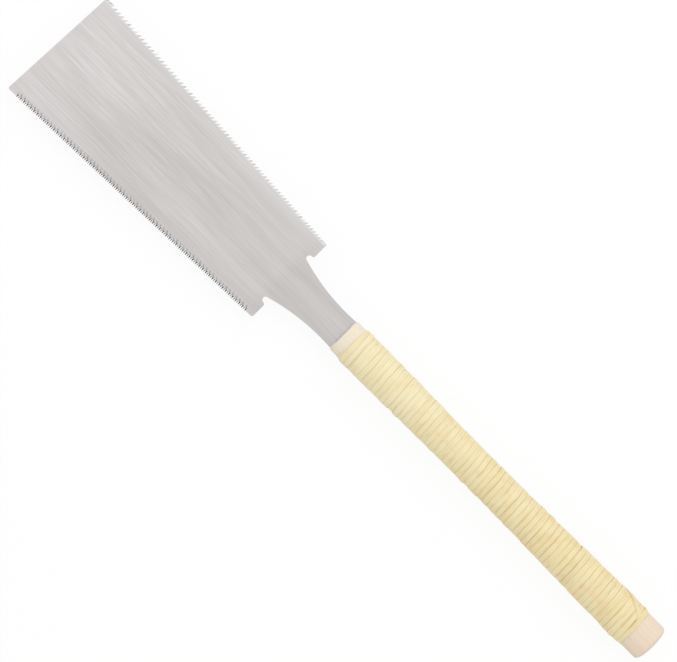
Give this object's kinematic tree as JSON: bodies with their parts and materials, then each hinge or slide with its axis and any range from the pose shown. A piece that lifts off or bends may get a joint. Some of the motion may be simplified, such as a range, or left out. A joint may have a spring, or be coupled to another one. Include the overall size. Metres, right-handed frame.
{
  "type": "ryoba saw",
  "caption": "Double-edged pull saw: a thin flared blade with rip teeth on one edge and crosscut teeth on the other pushes into a long waisted wooden handle wound with a rattan strip.",
  "frame": {"origin": "centre of the handle's butt face, on the saw's long axis and in the blade's middle plane", "axes": "+X along the saw from the butt to the tip of the blade, +Y to the crosscut edge, +Z square to the blade"},
  "size_m": [0.6134, 0.0973, 0.0249],
  "materials": {
    "blade_steel": "fine lengthwise grind",
    "sheath_steel": "plain rolled sheet",
    "pin_steel": "drawn wire",
    "handle_wood": "bare sanded softwood",
    "rattan": "split rattan with its natural skin"
  },
  "bodies": {
    "handle": {"blade_sheath": "sheath_steel", "stop_rivet": "pin_steel", "front_cross_pin": "pin_steel", "rear_cross_pin": "pin_steel", "upper_handle_half": "handle_wood", "lower_handle_half": "handle_wood", "rattan_wrap": "rattan"},
    "blade": {"blade": "blade_steel"}
  },
  "joints": [
    {"name": "blade_draw", "type": "slide", "parent": "handle", "child": "blade", "axis": [1, 0, 0], "range_m": [0, 0.075]}
  ]
}
